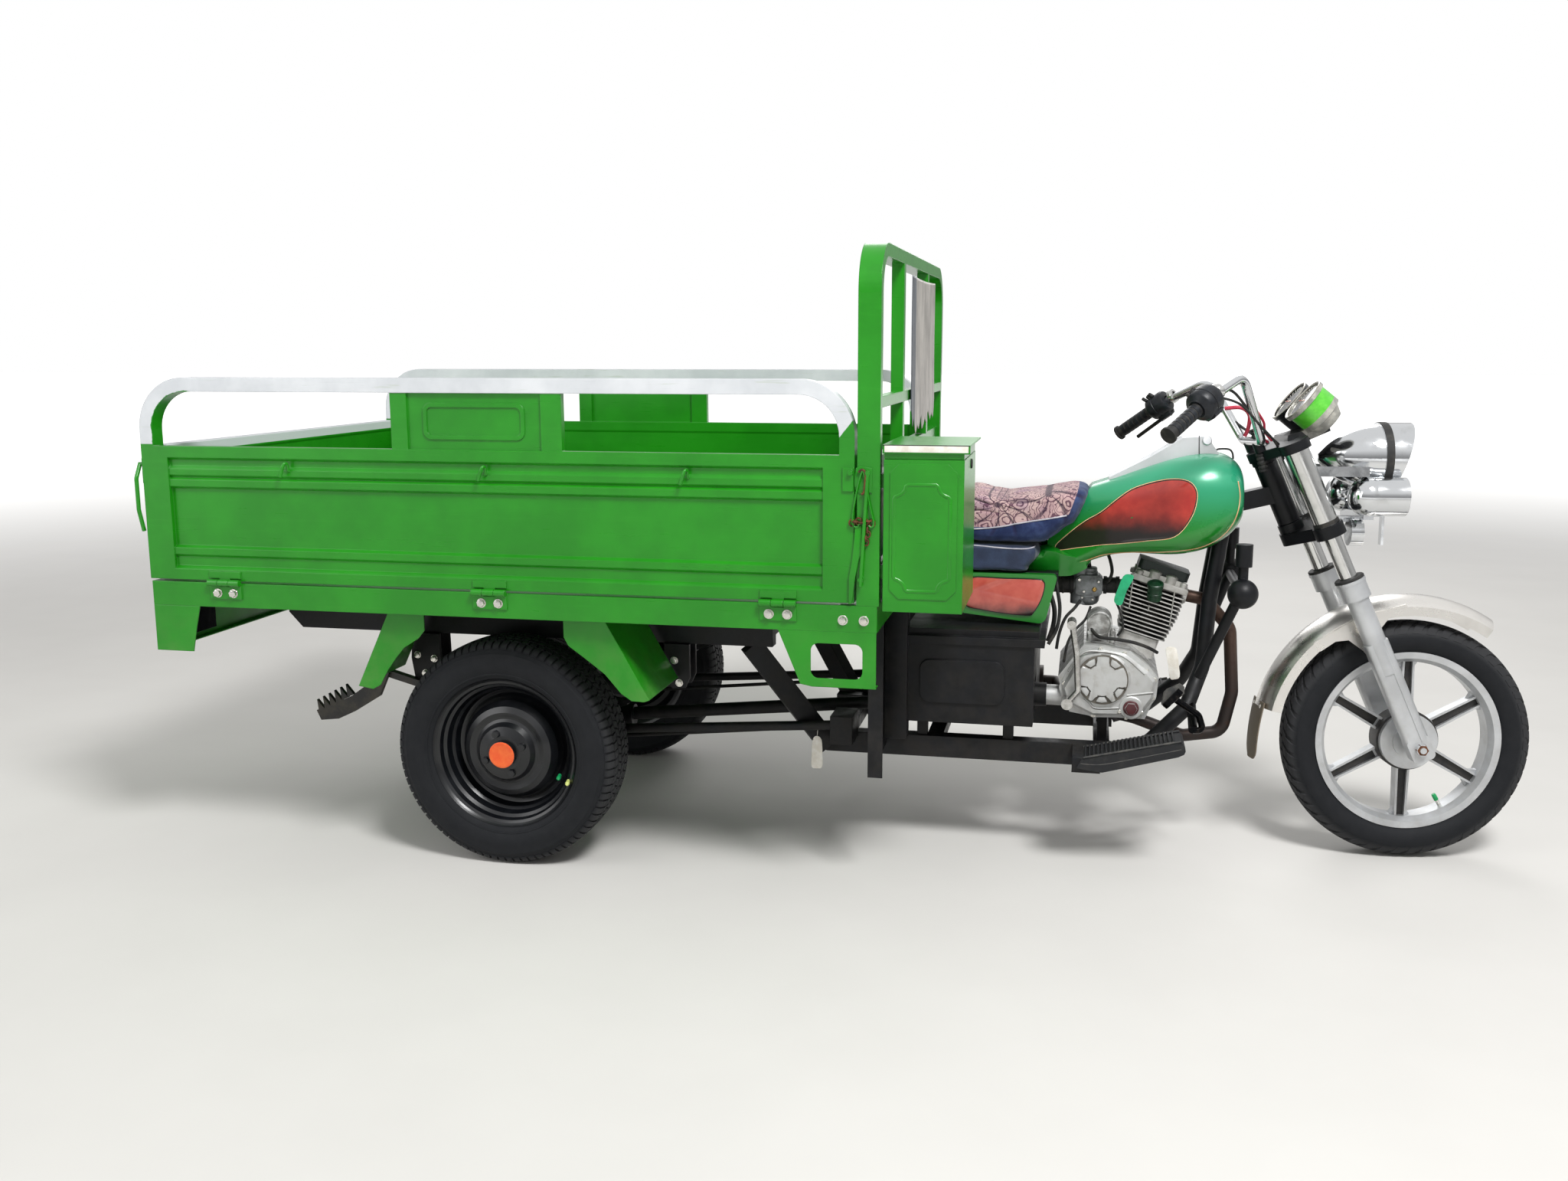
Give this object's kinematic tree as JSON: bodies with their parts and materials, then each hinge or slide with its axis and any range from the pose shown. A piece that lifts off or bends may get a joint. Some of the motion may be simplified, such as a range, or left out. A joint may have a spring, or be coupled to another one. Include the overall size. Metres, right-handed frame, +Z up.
{
  "type": "cargo motor tricycle",
  "caption": "Cargo motor tricycle with a motorcycle front end, a drop-sided load bed on two rear wheels and a tall headboard.",
  "frame": {"origin": "middle of the footprint's length and width, on the ground", "axes": "+X forward, towards the front wheel; +Y to the machine's left; +Z up"},
  "size_m": [3.3552, 1.311, 1.4869],
  "materials": {
    "green_paint": "gloss enamel, brushed on over older coats",
    "black_paint": "satin chassis paint with dust",
    "wheel_black": "gloss black enamel",
    "tank_green": "clear-coated green with a red side panel",
    "lamp_red": "moulded red lens",
    "worn_sheet": "dull, dusty sheeting",
    "cast_alloy": "sand-cast and painted silver",
    "fin_alloy": "raw cast fins, heat-stained",
    "carb_alloy": "dull die-cast",
    "pipe_rust": "heat-browned pipe",
    "bare_steel": "worn plated steel",
    "seat_vinyl": "dark blue coated cloth",
    "cushion_cloth": "printed cloth, dusty rose on blue",
    "chrome": "bright plating, slightly dusty",
    "fork_silver": "silver lacquer over casting",
    "trim_silver": "silver lacquered trim",
    "tyre": "road rubber",
    "rubber": "moulded black rubber",
    "tan_rubber": "dusty tan-grey rubber",
    "gauge": "black cups with a lime band"
  },
  "bodies": {
    "chassis": {"bed_frame": "green_paint", "headboard": "green_paint", "hung_sheet": "worn_sheet", "toolbox": "green_paint", "rear_apron": "green_paint", "tail_lamps": "lamp_red", "mudguards": "green_paint", "steps": "green_paint", "chassis_rails": "black_paint", "chassis_crossmembers": "black_paint", "frame_drops": "black_paint", "lower_rails": "black_paint", "lower_crossmembers": "black_paint", "down_tubes": "black_paint", "backbone": "black_paint", "crankcase": "cast_alloy", "cylinder": "fin_alloy", "carburettor": "carb_alloy", "exhaust": "pipe_rust", "foot_controls": "bare_steel", "fuel_tank": "tank_green", "tank_console": "trim_silver", "seat_base": "seat_vinyl", "seat_cushion": "cushion_cloth", "side_covers": "tank_green", "battery_box": "black_paint", "footboards": "rubber", "leg_guard": "black_paint", "leaf_springs": "black_paint", "rear_axle": "black_paint", "drive_shaft": "black_paint", "thrust_rods": "black_paint"},
    "steering": {"front_axle": "bare_steel", "fork_sliders": "fork_silver", "fork_tubes": "chrome", "fork_yokes": "black_paint", "handlebar": "chrome", "grips": "rubber", "front_fender": "chrome", "mud_flap": "tan_rubber", "instruments": "gauge", "headlamp": "chrome", "spot_lamps": "chrome"},
    "side_board_right": {"side_board_right": "green_paint"},
    "side_board_left": {"side_board_left": "green_paint"},
    "tailgate": {"tailgate": "green_paint"},
    "toolbox_lid": {"toolbox_lid": "green_paint"},
    "rear_wheel_set_right": {"rear_wheel_right": "wheel_black", "rear_tyre_right": "tyre"},
    "rear_wheel_set_left": {"rear_wheel_left": "wheel_black", "rear_tyre_left": "tyre"},
    "front_wheel_set": {"front_wheel": "cast_alloy", "front_tyre": "tyre"}
  },
  "joints": [
    {"name": "side_board_right_fold", "type": "hinge", "parent": "chassis", "child": "side_board_right", "pos_m": [-0.78116, -0.6475, 0.702], "axis": [1, 0, 0], "range_deg": [0, 178]},
    {"name": "side_board_left_fold", "type": "hinge", "parent": "chassis", "child": "side_board_left", "pos_m": [-0.78116, 0.6475, 0.702], "axis": [-1, 0, 0], "range_deg": [0, 178]},
    {"name": "tailgate_fold", "type": "hinge", "parent": "chassis", "child": "tailgate", "pos_m": [-1.66366, 0, 0.702], "axis": [0, -1, 0], "range_deg": [0, 178]},
    {"name": "toolbox_lid_lift", "type": "hinge", "parent": "chassis", "child": "toolbox_lid", "pos_m": [0.24534, -0.338, 1.03], "axis": [-1, 0, 0], "range_deg": [0, 100]},
    {"name": "steering_turn", "type": "hinge", "parent": "chassis", "child": "steering", "pos_m": [1.05024, 0, 0.90423], "axis": [-0.4099, 0, 0.9121], "range_deg": [-45.3, 30.7]},
    {"name": "front_wheel_spin", "type": "hinge", "parent": "steering", "child": "front_wheel_set", "pos_m": [1.38194, 0.00686, 0.29682], "axis": [-0.1159, 0.9919, -0.0521], "continuous": true},
    {"name": "rear_right_spin", "type": "hinge", "parent": "chassis", "child": "rear_wheel_set_right", "pos_m": [-0.78766, -0.475, 0.282], "axis": [0, 1, 0], "continuous": true},
    {"name": "rear_left_spin", "type": "hinge", "parent": "chassis", "child": "rear_wheel_set_left", "pos_m": [-0.78766, 0.475, 0.282], "axis": [0, 1, 0], "continuous": true}
  ]
}
